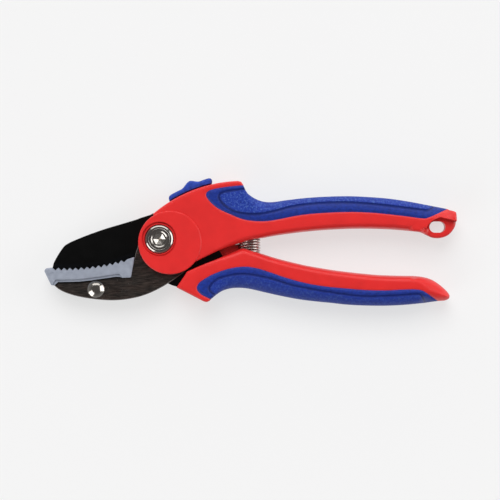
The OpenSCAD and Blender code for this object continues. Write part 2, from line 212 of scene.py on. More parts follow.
def distance(points, line, closed=True):
    """Distance of each point from a line of straight segments."""
    points, a = np.asarray(points, float), np.asarray(line, float)
    b = np.roll(a, -1, axis=0) if closed else a[1:]
    a = a if closed else a[:-1]
    run = b - a
    length2 = np.maximum((run**2).sum(1), 1e-12)
    out = np.empty(len(points))
    for i in range(0, len(points), 2000):
        p = points[i : i + 2000, None, :] - a[None]
        t = np.clip((p * run).sum(2) / length2, 0, 1)
        out[i : i + 2000] = np.sqrt(((p - t[..., None] * run) ** 2).sum(2).min(1))
    return out


def inside(points, loop):
    """Which points lie inside a closed loop."""
    points, a = np.asarray(points, float), np.asarray(loop, float)
    b = np.roll(a, -1, axis=0)
    out = np.zeros(len(points), bool)
    for (x0, y0), (x1, y1) in zip(a, b):
        if y0 == y1:
            continue
        crosses = (y0 > points[:, 1]) != (y1 > points[:, 1])
        out ^= crosses & (points[:, 0] < (x1 - x0) * (points[:, 1] - y0) / (y1 - y0) + x0)
    return out


def step_up(value, start, end):
    """0 before start and 1 after end, with a smooth turn between them."""
    t = np.clip((value - start) / (end - start), 0, 1)
    return t * t * (3 - 2 * t)


def normals(line, closed=True):
    """Unit normals on the left of a line, at its points."""
    if closed:
        run = np.roll(line, -1, axis=0) - np.roll(line, 1, axis=0)
    else:
        run = np.gradient(line, axis=0)
    run = run / np.maximum(np.linalg.norm(run, axis=1), 1e-9)[:, None]
    return np.column_stack([-run[:, 1], run[:, 0]])


def beside(line, offsets, closed=False):
    """Copies of a line at distances to its left, which are rows of points for a ridge or groove."""
    side = normals(line, closed)
    return np.vstack([line + side * o for o in offsets])


# ---- Outlines ----

# The upper handle, clockwise from the left end of its crest
upper_crest = np.vstack([
    arc(CREST, CREST_R, angle_at_x(CREST, CREST_R, -3.2, 1), 92.2, 48),
    smooth([[38.5, 28.2], [39.8, 27.8], [40.6, 26.6]], 6),
])
upper_back = smooth([
    [41.8, 23.9], [43.2, 22], [46.3, 19.85], [50.4, 18.3], [55, 18], [62, 18.95], [71, 20], [81, 20.65],
    [92, 20.9], [102, 20.5], [112, 19.7], [122, 18.2], [131, 16.5], [139.8, 14.8],
])
upper_tab = smooth([
    [141, 14.2], [143.6, 13.4], [144.4, 12.2], [144.5, 8], [143.4, 4.9], [140.8, 2], [137.3, 0.7],
    [133.6, 0.7], [130.6, 1.9], [127.5, 3.4], [122, 4.1],
])
upper_palm = smooth([
    [121, 4.2], [114, 4.8], [106, 5.15], [97, 5.25], [88, 5], [78, 4.4], [68, 3.4], [58, 2.05],
    [50, 0.6], [43, -1], [36, -2.9], [29, -5.5], [22, -8.8], [17.2, -11.2],
])
upper_hub = arc(DISC, DISC_R, 320, 120, 60)
upper_outline = fine(np.vstack([upper_crest, upper_back, upper_tab, upper_palm, upper_hub])[::-1], 0.9)

upper_seam = smooth([
    [41.2, 26.2], [34.4, 25.6], [28.4, 24.7], [24.9, 23.8], [23.3, 22.9], [22.8, 21.7], [23.2, 20.1],
    [25.4, 17.4], [29, 14.6], [34.3, 12.1], [40, 9.8], [46, 8.75], [52, 8.7], [58, 9.55], [66.5, 11.25],
    [76, 12.4], [90, 13.1], [101, 12.9], [111, 12.05], [120, 11], [128, 10], [130.6, 10.4], [134.5, 12],
    [140.4, 14.8],
])
upper_beyond = [[140.4, 30], [60, 36], [43, 36]]
upper_groove = smooth([
    [41.2, 24.3], [35, 23.5], [30.6, 22.5], [29, 20.5], [31.1, 16.8], [36.7, 13.2], [44.8, 12],
    [52.9, 12.8], [65.1, 15.8], [76.4, 17.2], [89.4, 17.7], [102.4, 17], [113.7, 15.8], [126.7, 14.2],
    [130.8, 14], [133.8, 16.2],
])

# The lower handle, clockwise from the corner by the hub
lower_nose = fine([[8.4, -23.5], [13.6, -15.7], [19.7, -13]], 0.9, closed=False)
lower_palm = smooth([
    [19.7, -13], [25.5, -10.7], [31.4, -8.3], [36, -6.3], [39.9, -4.6], [42.3, -4.7], [46, -5.8],
    [51, -7.6], [56, -9.2], [62, -10.8], [70, -12.7], [78, -14.2], [87, -15.6], [96, -16.65],
    [106, -17.6], [116, -18], [124, -18.1],
])
lower_tail = smooth([
    [124, -18.1], [129, -18.7], [133.2, -20.1], [137, -22.6], [140, -25.3], [141.4, -27.4],
    [141.1, -29], [139.2, -29.9], [135.5, -30.2], [129, -31.1],
])
lower_back = smooth([
    [129, -31.1], [121, -31.9], [112, -32.4], [102, -32.4], [92, -31.95], [84, -31.1], [76, -30.3],
    [68, -29.3], [59, -27.6], [51, -25.8], [44, -24.2], [39, -23.7], [34, -24.1], [29.6, -25.7],
    [25, -29.2],
])
lower_corner = np.vstack([smooth([[24.4, -30], [23, -30.6], [21.4, -30.2]], 6), [[8.4, -23.5]]])
lower_outline = fine(np.vstack([lower_nose, lower_palm, lower_tail, lower_back, lower_corner])[::-1], 0.9)

lower_seam = smooth([
    [25, -29.2], [21.2, -27.4], [19, -25.6], [18.3, -23.6], [19.4, -21.2], [22.4, -19.1], [26, -17.1],
    [31, -15.2], [36, -13.9], [42, -13.4], [48, -14.3], [55, -16.5], [62, -18.9], [71, -21.3],
    [80, -22.9], [90, -23.9], [100, -24.7], [110, -24.9], [118, -24.5], [124, -24.4], [128, -25.1],
    [131.8, -27.5], [136, -30.4],
])
lower_beyond = [[136, -42], [30, -42]]
lower_groove = smooth([
    [27.2, -27.4], [25.3, -26], [24.3, -24.3], [24.9, -22.5], [28.4, -19.4], [34.1, -17.7], [40.6, -17],
    [46.7, -17.7], [54.6, -19.4], [63.3, -22.1], [72, -24], [83.2, -25.9], [97.8, -27.8], [110, -27.7],
    [119.1, -27.2], [125.8, -26.8], [127.4, -27.7], [129.4, -30.4],
])
eye_recess = [[129.8, -5], [129.8, 5.6], [131, 7.4], [133, 9.2], [136.6, 10.7], [150, 7.4], [150, -5]]

# The steel parts
JAW_R = ANVIL_R + 2.6
jaw_rim = arc(ANVIL_CENTRE, JAW_R, angle_at_x(ANVIL_CENTRE, JAW_R, -50.6, -1),
              angle_at_x(ANVIL_CENTRE, JAW_R, -13.4, -1), 60)
plate_outline = np.vstack([
    jaw_rim,
    smooth([
        [-12.2, -10.5], [-11.7, -7], [-10.6, -3.8], [-9.9, 0], [-8, 4.8], [-4.6, 9], [0, 10.9], [8, 12],
        [20, 14.5], [34, 15], [46, 12.8], [56, 12.6], [66, 13.8], [75, 14.4], [78, 12.5], [76, 10.2],
        [66, 8.7], [56, 7], [47, 5.8], [40, 5.3], [33, 0.5], [24, -4.6], [17, -9.4], [14.2, -13.4],
        [11.2, -16.7], [5, -21], [0, -24], [-5, -26.4], [-10, -28.1], [-16, -29.3], [-22, -29.8],
        [-28, -29.6], [-35, -28.8], [-41, -27.6], [-46, -26], [-49.4, -24.2], [-51.3, -22.4],
    ]),
])
EDGE_R = ANVIL_R + 0.9
blade_edge = arc(ANVIL_CENTRE, EDGE_R, angle_at_x(ANVIL_CENTRE, EDGE_R, -13, -1),
                 angle_at_x(ANVIL_CENTRE, EDGE_R, -52, -1), 60)
blade_outline = np.vstack([
    smooth([
        [-52.4, -14], [-51.6, -11.3], [-49.2, -7], [-46.7, -3.5], [-44.7, -2.1], [-42.3, -0.9],
        [-36, 1.7], [-27, 4.9], [-18, 7.6], [-12, 9.4], [-9, 10.5], [-6, 11.45], [-4.6, 11.9],
        [-3.8, 12.35], [-3, 12.7], [-2.4, 12.7], [-1.6, 12.5], [0, 12.7], [3.9, 13.8],
    ]),
    arc((0, 0), 9.4, 65.5, -12, 30),
    smooth([
        [14, -2.2], [20, -2.6], [25, -3.3], [28.4, -4.7], [29.3, -6], [31.4, -9], [35, -10.9],
        [42, -12], [52, -13.9], [64, -17], [76, -19.7], [81, -21.2], [82, -23], [80, -24.7],
        [70, -23.4], [60, -21], [50, -18.2], [42, -16.9], [35, -17.3], [27, -20], [20, -23.4],
        [14, -24.4], [8.3, -23.2], [4.4, -21.8], [-1, -18], [-4.2, -13],
    ]),
    arc((0, 0), 12.2, 245, 220, 8),
    blade_edge,
])


def tooth_line():
    """The sharp teeth along the anvil's rim, from its nose to its heel."""
    points = []
    for k in range(2 * TEETH + 1):
        radius = ANVIL_R - TOOTH_HEIGHT * (k % 2)
        angle = angle_at_x(ANVIL_CENTRE, radius, -50.6 + TOOTH_PITCH * k / 2, -1)
        points.append(arc(ANVIL_CENTRE, radius, angle, angle, 0)[0])
    return points


anvil_nose = [[-55.8, -16], [-55.9, -15.4], [-55.6, -14.7], [-55, -14.2], [-54, -14], [-52.4, -13.9]]
anvil_heel = [[-12.6, -8.8], [-12.1, -9.1], [-13.8, -18.3], [-14.2, -18.7], [-17.9, -18.9]]
anvil_foot = [[-52, -22.5], [-52.5, -22.4], [-52.8, -22.1]]
anvil_crest = smooth([
    [-19.2, -17.4], [-20, -17.1], [-21.2, -17.2], [-27.4, -18.1], [-33.6, -19], [-39.3, -19.6],
    [-49.8, -19.9], [-50.6, -20.1], [-51.4, -21.1],
], 4)
anvil_ledge = [
    [-19.2, -18.4], [-21.2, -18.3], [-27.4, -19.2], [-33.6, -20.1], [-39.3, -20.7], [-49.3, -20.9],
    [-51.3, -22.6],
]
anvil_web = [[-37.5, -17], [-24.5, -16.4], [-26, -27.6], [-35.5, -28]]
anvil_face = np.vstack([anvil_nose, tooth_line(), [[-15.6, -9.8]], anvil_heel, anvil_crest, anvil_foot])
anvil_outline = np.vstack([anvil_nose, tooth_line(), [[-15.6, -9.8]], anvil_heel, anvil_ledge, anvil_foot])
slide_outline = np.vstack([
    arc(CREST, CREST_R + SLIDE_GAP, 121.9, 103, 30),
    smooth([
        [25.6, 28.2], [25.3, 29.2], [24.5, 29.65], [23.4, 29.5], [21.5, 28.9], [18.9, 28.05],
        [15.6, 28.4], [14.3, 28.1], [13.1, 27], [12.2, 25.8], [11, 24.5], [8.8, 23.35], [6.2, 22],
        [5, 21.1], [4.6, 20.3], [4.6, 19.5],
    ]),
])


# ---- Solids from a filled outline ----


def thinned(fixed, loose, gap):
    """The loose points at least gap from the fixed ones and from each other, first come first kept."""
    cells = {}

    def clear(p):
        i, j = int(p[0] // gap), int(p[1] // gap)
        near = [q for a in (i - 1, i, i + 1) for b in (j - 1, j, j + 1) for q in cells.get((a, b), ())]
        return all((p[0] - q[0]) ** 2 + (p[1] - q[1]) ** 2 >= gap * gap for q in near)

    def store(p):
        cells.setdefault((int(p[0] // gap), int(p[1] // gap)), []).append(p)

    for p in fixed:
        store(p)
    kept = []
    for p in loose:
        if clear(p):
            store(p)
            kept.append(p)
    return np.array(kept).reshape(-1, 2)


def fill(loops, rows, grid_step, row_gap):
    """Triangles over the first loop less the others, with rows of points where the surface turns fast."""
    low, high = loops[0].min(0), loops[0].max(0)
    xs, ys = (np.arange(low[i], high[i], grid_step) for i in (0, 1))
    grid = np.array([[x + (j % 2) * grid_step / 2, y] for j, y in enumerate(ys) for x in xs])

    def usable(points, margin):
        ok = inside(points, loops[0]) & (distance(points, loops[0]) > margin)
        for hole in loops[1:]:
            ok &= ~inside(points, hole) & (distance(points, hole) > margin)
        return points[ok]

    fixed = np.vstack(loops)
    rows = usable(np.vstack(rows), 0.04) if rows else np.empty((0, 2))
    rows = thinned(fixed, rows, row_gap)
    grid = thinned(np.vstack([fixed, rows]), usable(grid, grid_step * 0.4), grid_step * 0.6)
    points = np.vstack([fixed, rows, grid])
    edges, first = [], 0
    for loop in loops:
        edges += [(first + i, first + (i + 1) % len(loop)) for i in range(len(loop))]
        first += len(loop)
    verts, _, faces, *_ = delaunay_2d_cdt([Vector(p) for p in points], edges, [], 0, 1e-6)
    verts = np.array(verts, float)
    faces = np.array([f for f in faces if len(f) == 3])
    middle = verts[faces].mean(1)
    keep = inside(middle, loops[0])
    for hole in loops[1:]:
        keep &= ~inside(middle, hole)
    faces = faces[keep]
    a, b, c = (verts[faces[:, i]] for i in range(3))
    turn = (b[:, 0] - a[:, 0]) * (c[:, 1] - a[:, 1]) - (b[:, 1] - a[:, 1]) * (c[:, 0] - a[:, 0])
    faces[turn < 0] = faces[turn < 0][:, ::-1]
    used = np.unique(faces)
    renumber = np.full(len(verts), -1)
    renumber[used] = np.arange(len(used))
    return verts[used], renumber[faces]


def mesh_object(name, verts, faces, sharp=35):
    """A smooth-shaded mesh object from millimetres, whose edges turn sharp above an angle in degrees."""
    mesh = bpy.data.meshes.new(name)
    mesh.from_pydata((np.asarray(verts, float) * MM).tolist(), [], [list(map(int, f)) for f in faces])
    mesh.validate()
    mesh.shade_smooth()
    mesh.set_sharp_from_angle(angle=math.radians(sharp))
    piece = bpy.data.objects.new(name, mesh)
    bpy.context.scene.collection.objects.link(piece)
    return piece


def mark(piece, name, values):
    """Stores a number for each vertex, which a material reads by name."""
    attribute = piece.data.attributes.new(name, "FLOAT", "POINT")
    attribute.data.foreach_set("value", np.asarray(values, np.float32))


def slab(name, loops, top, bottom, rows=(), grid_step=1.2, row_gap=0.12, sharp=35, ridge=0.0, marks=()):
    """A closed solid over the loops, between two heights above the middle plane.

    A ridge is the fine line that the halves of a mould leave round the side wall.
    """
    flat, tris = fill([fine(loop, 0.9) for loop in loops], list(rows), grid_step, row_gap)
    count = len(flat)
    directed = {(int(a), int(b)) for t in tris for a, b in ((t[0], t[1]), (t[1], t[2]), (t[2], t[0]))}
    rim = sorted((a, b) for a, b in directed if (b, a) not in directed)
    front = np.column_stack([flat, MID + top(flat)])
    back = np.column_stack([flat, MID + bottom(flat)])
    faces = [list(t) for t in tris] + [[t[2] + count, t[1] + count, t[0] + count] for t in tris]
    layers = [front, back]
    ring = {a: i for i, (a, b) in enumerate(rim)}
    if ridge:
        outward = np.zeros((count, 2))
        for a, b in rim:
            run = flat[b] - flat[a]
            side = np.array([run[1], -run[0]]) / max(np.linalg.norm(run), 1e-9)
            outward[a] += side
            outward[b] += side
        for shift, z in ((0, MID + MOULD_LINE_HALF), (ridge, MID), (0, MID - MOULD_LINE_HALF)):
            spots = [a for a, b in rim]
            push = outward[spots] / np.maximum(np.linalg.norm(outward[spots], axis=1), 1e-9)[:, None]
            layers.append(np.column_stack([flat[spots] + push * shift, np.full(len(spots), z)]))
        columns = [lambda i: i, *(lambda i, k=k: 2 * count + k * len(rim) + ring[i] for k in range(3)),
                   lambda i: i + count]
    else:
        columns = [lambda i: i, lambda i: i + count]
    for upper, lower in zip(columns, columns[1:]):
        faces += [[lower(a), lower(b), upper(b), upper(a)] for a, b in rim]
    piece = mesh_object(name, np.vstack(layers), faces, sharp)
    for label, rule in marks:
        values = rule(flat)
        parts = [values, values] + [[values[a] for a, b in rim]] * (3 if ridge else 0)
        mark(piece, label, np.concatenate(parts))
    return piece


def grows(points, start, end, before, after):
    """A size that changes along X from before to after, between start and end."""
    return before + (after - before) * step_up(np.asarray(points)[:, 0], start, end)


def fall(points, line, width, depth):
    """How far a rounded edge drops towards a line, starting at a soft crease at the width."""
    t = np.clip(1 - distance(points, line, closed=False) / width, 0, 1)
    return depth * (CREASE * t + (1 - CREASE) * (1 - np.sqrt(1 - t * t)))


def edge_rows(line, width, steps=7):
    """Rows of points on both sides of a line, spaced as a rounded edge of that width needs."""
    side = normals(line, closed=False)
    width = np.broadcast_to(width, len(line))
    insets = [width * (1 - math.cos(math.pi / 2 * k / steps)) for k in range(1, steps)]
    insets += [width * 0.96, width * 1.06]
    return [line + side * inset[:, None] * sign for inset in insets for sign in (1, -1)]


def change(piece, other, operation, sharp=35):
    """Joins the other solid to the piece, cuts it out or keeps what they share, and removes the other."""
    step = piece.modifiers.new("change", "BOOLEAN")
    step.operation = operation
    step.solver = "EXACT"
    step.object = other
    applied = bpy.data.meshes.new_from_object(piece.evaluated_get(bpy.context.evaluated_depsgraph_get()))
    piece.modifiers.clear()
    piece.data = applied
    applied.shade_smooth()
    applied.set_sharp_from_angle(angle=math.radians(sharp))
    bpy.data.objects.remove(other)


def cut(piece, *cutters, sharp=35):
    """Cuts the other solids out of the piece."""
    for cutter in cutters:
        change(piece, cutter, "DIFFERENCE", sharp)


def add(piece, *others):
    """Joins the other solids to the piece."""
    for other in others:
        change(piece, other, "UNION")


def counterclockwise(loop):
    loop = np.array(loop, float)
    x, y = loop[:, 0], loop[:, 1]
    return loop if (x * np.roll(y, -1) - np.roll(x, -1) * y).sum() > 0 else loop[::-1]


def prism(loop, z0, z1):
    """A straight-sided solid over a loop between two heights above the middle plane."""
    loop = counterclockwise(loop)
    n = len(loop)
    verts = np.vstack([np.column_stack([loop, np.full(n, MID + z)]) for z in (z1, z0)])
    faces = [list(range(n)), list(range(2 * n - 1, n - 1, -1))]
    faces += [[i + n, (i + 1) % n + n, (i + 1) % n, i] for i in range(n)]
    return mesh_object("tool", verts, faces)


def circle(centre, radius, count=96):
    return arc(centre, radius, 0, 360, count)[:-1]


def bar(x, y0, y1, radius, segments=48):
    """A round bar along Y in the middle plane."""
    turn = np.arange(segments) * 2 * math.pi / segments
    verts = [(x + radius * math.cos(a), y, MID + radius * math.sin(a)) for y in (y0, y1) for a in turn]
    faces = [list(range(segments)), list(range(2 * segments - 1, segments - 1, -1))]
    faces += [[(i + 1) % segments, i, i + segments, (i + 1) % segments + segments] for i in range(segments)]
    return mesh_object("tool", verts, faces)


def lathe(name, profile, centre=(0, 0), segments=96, sharp=30):
    """A solid turned about Z from (radius, z) points, which run from the axis at the bottom to the top."""
    verts, rings = [], []
    for radius, z in profile:
        size = segments if radius > 1e-6 else 1
        rings.append(list(range(len(verts), len(verts) + size)))
        turn = np.arange(size) * 2 * math.pi / size
        verts += [(centre[0] + radius * math.cos(a), centre[1] + radius * math.sin(a), z) for a in turn]
    faces = []
    for low, high in zip(rings, rings[1:]):
        for i in range(segments):
            j = (i + 1) % segments
            face = [low[i % len(low)], low[j % len(low)], high[j % len(high)], high[i % len(high)]]
            faces.append(list(dict.fromkeys(face)))
    return mesh_object(name, verts, faces, sharp)


def sector(centre, r0, r1, a0, a1):
    """A sector of a flat ring."""
    return np.vstack([arc(centre, r1, a0, a1, 24), arc(centre, r0, a1, a0, 24)])


def oval(centre, length, width):
    """A slot with round ends, along X."""
    shift = (length - width) / 2
    right = arc((centre[0] + shift, centre[1]), width / 2, -90, 90, 24)
    left = arc((centre[0] - shift, centre[1]), width / 2, 90, 270, 24)
    return np.vstack([right, left])


# ---- Handles and grips ----

def split_by_seam(outline, seam, beyond):
    """The grip's loop and the handle's loop: the parts of an outline on each side of the seam."""
    loops = []
    for operation in ("INTERSECT", "DIFFERENCE"):
        whole = prism(outline, -1, 1)
        change(whole, prism(np.vstack([seam, beyond]), -2, 2), operation)
        loops.append(top_loop(whole.data))
        bpy.data.objects.remove(whole)
    return loops


def top_loop(mesh):
    """The longest closed loop round the top face of a flat solid, in millimetres."""
    high = max(v.co.z for v in mesh.vertices)
    top = [p for p in mesh.polygons if all(mesh.vertices[v].co.z > high - 1e-6 for v in p.vertices)]
    directed = {(p.vertices[i - 1], p.vertices[i]) for p in top for i in range(len(p.vertices))}
    after = {a: b for a, b in sorted(directed) if (b, a) not in directed}
    loops = []
    while after:
        start = min(after)
        loop, at = [start], after.pop(start)
        while at != start:
            loop.append(at)
            at = after.pop(at)
        loops.append(np.array([mesh.vertices[v].co[:2] for v in loop]) / MM)
    return max(loops, key=len)


class Handle:
    """One handle's outline, seam, groove and rounded edges, which its shell and its grip share."""

    def __init__(self, outline, seam, groove, beyond, edges, flat, pale=1.0):
        self.seam = fine(seam, 0.5, closed=False)
        self.groove = fine(groove, 0.5, closed=False)
        self.beyond = beyond
        self.edges = [(fine(line, 0.6, closed=False), width, depth) for line, width, depth in edges]
        self.flat = flat
        self.pale = pale
        self.grip_loop, self.shell_loop = split_by_seam(outline, seam, beyond)
        self.rows = [row for line, width, _ in self.edges for row in edge_rows(line, grows(line, *width))]

    def half(self, points):
        """Half the thickness, with the edges rounded and a valley along the seam."""
        height = self.flat(points)
        for line, width, depth in self.edges:
            height = height - fall(points, line, grows(points, *width), grows(points, *depth))
        gap = distance(points, self.seam, closed=False)
        return np.maximum(height - SEAM_DEPTH * (1 - step_up(gap, 0, SEAM_WIDTH)), 0.4)

    def grained(self, points):
        """1 on the grained pad outside the groove, 0 on its smooth border."""
        pad = inside(points, np.vstack([self.groove, self.beyond]))
        return pad * step_up(distance(points, self.groove, closed=False), 0.3, 0.9)

    def grooved(self, points):
        """1 in the bottom of the groove, falling to 0 beside it: it sinks the groove and places the painted
        shade in it.
        """
        return np.exp(-((distance(points, self.groove, closed=False) / GROOVE_WIDTH) ** 2))

    def grip_half(self, points):
        rise = GRIP_LIP * step_up(distance(points, self.seam, closed=False), 0.1, 1.3)
        raised = self.half(points) + rise + GRAIN_RISE * self.grained(points)
        return raised - GROOVE_DEPTH * self.grooved(points)

    def grip(self, name):
        rows = [beside(self.groove, [0]), *self.rows]
        rows += [beside(self.groove, [o, -o]) for o in (0.2, 0.4, 0.6, 0.85, 1.2)]
        rows += [beside(self.seam, [o, -o]) for o in (0.15, 0.35, 0.55, 0.8, 1.3)]
        # The groove mark paints shade into the grip's colour along the groove.
        marks = [("grain", lambda p: self.pale * self.grained(p)), ("groove", self.grooved)]
        bottom = lambda p: -self.grip_half(p)
        return slab(name, [self.grip_loop], self.grip_half, bottom, rows, ridge=MOULD_LINE, marks=marks)

    def shell(self, name, rise=None, rows=()):
        rise = rise or (lambda points, height: height)
        rows = [*rows, *self.rows] + [beside(self.seam, [o, -o]) for o in (0.15, 0.35, 0.55, 0.8)]
        top = lambda p: rise(p, self.half(p))
        return slab(name, [self.shell_loop], top, lambda p: -top(p), rows, ridge=MOULD_LINE)


def upper_flat(points):
    """The upper handle's flat face: low over the head, a little higher along the handle."""
    return grows(points, 24, 40, HEAD_HALF, CORE_HALF)


def upper_rise(points, height):
    """Adds the hub disc, and lowers the hanging tab behind a slanted wall and a soft slope."""
    r = np.hypot(points[:, 0] - DISC[0], points[:, 1] - DISC[1])
    rim = np.clip(1 - (DISC_R - r) / DISC_ROUND, 0, 1)
    disc = HALF - DISC_ROUND * (1 - np.sqrt(1 - rim * rim))
    height = np.where(r <= DISC_R, np.maximum(disc, height), height)
    low = np.minimum(height, TAB_HALF - fall(points, upper_tab, 1.6, 1.2))
    slope = np.where(points[:, 1] > 5.6, 1.0, step_up(points[:, 0], 126.5, 131.5))
    behind = inside(points, np.vstack([[[126, -5], [126, 5.6]], eye_recess[1:]]))
    return np.where(behind, height + (low - height) * slope, height)


def make_upper():
    shape = Handle(upper_outline, upper_seam, upper_groove, upper_beyond, [
        (upper_crest, (0, 1, 0.8, 0.8), (0, 1, 1.0, 1.0)),
        (upper_back, (41, 50, 1.2, 6.2), (41, 50, 1.2, 5.4)),
        (upper_tab, (0, 1, 1.0, 1.0), (0, 1, 1.2, 1.2)),
        (upper_palm, (20, 42, 0.7, 2.4), (20, 46, 0.9, 5.0)),
        (upper_hub, (0, 1, 0.5, 0.5), (0, 1, 0.6, 0.6)),
    ], upper_flat)
    wall = fine(eye_recess, 0.5)
    rows = [beside(wall, [o, -o], closed=True) for o in (0.08, 0.25)]
    rows += [circle(DISC, DISC_R - d, 200) for d in (-0.3, -0.03, 0.03, 0.12, 0.3, 0.5, 0.8)]
    shell = shape.shell("upper_handle_shell", upper_rise, rows)
    slot = PLATE_IN + 0.05
    opening = [
        [1.2, 60], [1.2, 0], [14, -0.6], [25, -1.6], [30, -2.4], [36.4, -0.8], [38.2, -0.8],
        [38.2, -60], [-60, -60], [-60, 60],
    ]
    cut(shell, prism(opening, -slot, slot), prism(circle(PIVOT, HUB_ROOM_R), -slot, slot),
        prism(sector(SPINE, *CHAMBER_R, *CHAMBER), -slot, slot),
        prism(sector(SPINE, *STEM_SLOT_R, *STEM_SLOT), -slot, slot))
    for side in (-1, 1):
        low, high = sorted((side * slot, side * (PLATE_OUT + 0.02)))
        cut(shell, prism(plate_outline, low * 0.9, high))
    bore = prism(circle(PIVOT, BOLT_HOLE), PLATE_OUT - 0.5, 20)
    groove = prism(circle(PIVOT, RING_R + 0.15), HALF - 1.6, 20)
    cut(groove, lathe("tool", [
        [0, 0], [RING_R - 0.6, 0], [RING_R - 0.6, MID + HALF - 1.05], [RING_R - 0.7, MID + HALF - 0.9],
        [0, MID + HALF - 0.9],
    ]))
    nut = prism(circle(PIVOT, NUT_HOLE, 6), -20, 0.5 - PLATE_OUT)
    eye = prism(oval(EYE, EYE_LENGTH, EYE_WIDTH), -20, 20)
    cut(shell, bore, groove, nut, eye, bar(SPRING_X, -8, 4.0, POCKET_R))
    add(shell, bar(SPRING_X, 0.6, 4.6, STUD_R))
    return shell, shape.grip("upper_grip_skin")


def make_lower():
    shape = Handle(lower_outline, lower_seam, lower_groove, lower_beyond, [
        (lower_nose, (0, 1, 0.7, 0.7), (0, 1, 1.0, 1.0)),
        (lower_palm, (22, 42, 0.8, 2.5), (22, 46, 1.0, 5.0)),
        (lower_tail, (124, 134, 2.5, 6.0), (124, 134, 5.0, 6.0)),
        (lower_back, (25, 36, 1.0, 6.2), (25, 36, 1.2, 5.4)),
        (lower_corner, (0, 1, 0.8, 0.8), (0, 1, 1.1, 1.1)),
    ], lambda p: np.full(len(p), CORE_HALF), pale=0.45)
    shell = shape.shell("lower_handle_shell")
    room = PLATE_OUT + 0.4
    cut(shell, prism(circle(PIVOT, NOSE_ROOM_R, 160), -room, room), bar(SPRING_X, -9.4, 2, POCKET_R))
    fin = [
        [28, -9], [28, -5.2], [29.4, -3.9], [31, -3.2], [36.2, -2.4], [37.4, -2.7], [38.3, -3.5],
        [38.3, -8], [36, -10], [30, -10],
    ]
    guard = [[34, -10], [34.9, -3.6], [36.5, -3.1], [38.5, -2.5], [39.7, -2.2], [39.7, -8], [38, -10]]
    lip = [[35.5, -4], [36.5, -2.85], [38.5, -2.3], [39.7, -1.95], [39.7, -4]]
    add(shell, prism(fin, -BLADE_HALF, -0.4), prism(guard, -6.5, -4), prism(lip, -6.6, -5.9),
        bar(SPRING_X, -10, -6.4, STUD_R))
    return shell, shape.grip("lower_grip_skin")


upper_handle, upper_grip = make_upper()
lower_handle, lower_grip = make_lower()

# ---- Steel, hardware and lock ----


def rims(points, lines, size):
    """How far a straight bevel of that size drops along the nearest of the lines."""
    gap = np.min([distance(points, line, closed) for line, closed in lines], axis=0)
    return np.maximum(size - gap, 0)


def plate(name, sign):
    """A jaw plate with bevelled outer rims, with a painted highlight along the bevel and painted shade in
    the corner under the anvil.
    """
    loop = counterclockwise(fine(plate_outline, 0.6))
    holes = [circle(PIVOT, 4.1), circle(RIVET, RIVET_HOLE), circle((58, 9.9), 1.6), circle((69, 11.6), 1.6)]
    rows = [beside(loop, [o], closed=True) for o in (0.14, 0.28, 0.42)]
    outer = lambda p: sign * (PLATE_OUT - rims(p, [(loop, True)], 0.28))
    inner = lambda p: np.full(len(p), sign * PLATE_IN)
    # Painted highlight: the edge mark makes the colour lighter along the bevelled rim.
    painted_rim_highlight = lambda p: (distance(p, loop) < 0.3).astype(float)
    corner = fine(anvil_ledge, 0.6, closed=False)
    # Painted shade: the corner mark makes the plate go near black within about a millimetre of the anvil's
    # ledge, where its shadow falls.
    painted_corner_shade = lambda p: 1 - step_up(distance(p, corner, closed=False), 0.35, 1.3)
    rows += [beside(corner, [o, -o]) for o in (0.3, 0.65, 1.0, 1.35)]
    top, bottom = (outer, inner) if sign > 0 else (inner, outer)
    return slab(name, [loop, *holes], top, bottom, rows, grid_step=2.5, sharp=25,
                marks=[("edge", painted_rim_highlight), ("corner", painted_corner_shade)])


def make_blade():
    """The blade, ground from both sides to a thin edge along the anvil."""
    edge = fine(blade_edge, 0.6, closed=False)

    def half(p):
        t = np.clip(distance(p, edge, closed=False) / BEVEL, 0, 1)
        ground = EDGE_HALF + (BLADE_HALF - EDGE_HALF) * t
        return ground - np.minimum(rims(p, [(loop, True)], 0.25), ground - EDGE_HALF * 0.9)

    loop = counterclockwise(fine(blade_outline, 0.6))
    rows = [beside(loop, [o], closed=True) for o in (0.12, 0.25, 0.4)]
    rows += [beside(edge, [o, -o]) for o in (BEVEL - 0.1, BEVEL, BEVEL + 0.1)]
    holes = [circle(PIVOT, BUSH_HOLE), circle((55, -17), 1.8), circle((68, -20.6), 1.8)]
    return slab("blade_coated", [loop, *holes], half, lambda p: -half(p), rows, grid_step=2, sharp=12)


def make_anvil():
    """The anvil: cheeks over both plates, a channel for the blade, and a web down to the rivet."""
    rim = fine(np.vstack([anvil_heel, anvil_crest, anvil_foot, anvil_nose]), 0.4, closed=False)
    loop = counterclockwise(fine(anvil_face, 0.7))
    half = lambda p: ANVIL_HALF - fall(p, rim, 0.35, 0.35)
    rows = edge_rows(rim, 0.35, 4)
    piece = slab("anvil_cast", [loop], half, lambda p: -half(p), rows, grid_step=1.5, sharp=25)
    ledge = PLATE_OUT + 0.45
    add(piece, prism(anvil_outline, -ledge, ledge), prism(anvil_web, -PLATE_IN, PLATE_IN))
    floor_arc = arc(ANVIL_CENTRE, ANVIL_R + 1.2, angle_at_x(ANVIL_CENTRE, ANVIL_R + 1.2, -10, -1),
                    angle_at_x(ANVIL_CENTRE, ANVIL_R + 1.2, -53.4, -1), 48)
    cut(piece, prism(np.vstack([floor_arc, [[-53.4, 0], [-5, 0]]]), -PLATE_IN + 0.02, PLATE_IN - 0.02))
    for side in (-1, 1):
        low, high = sorted((side * (PLATE_IN - 0.01), side * (PLATE_OUT + 0.01)))
        cut(piece, prism(plate_outline, low, high))
        low, high = sorted((side * (ANVIL_HALF - 0.15), side * (ANVIL_HALF + 1)))
        cut(piece, prism(circle((-52, -17.9), 1.6, 64), low, high))
    cut(piece, prism(circle(RIVET, RIVET_HOLE), -PLATE_IN - 1, PLATE_IN + 1))
    return piece


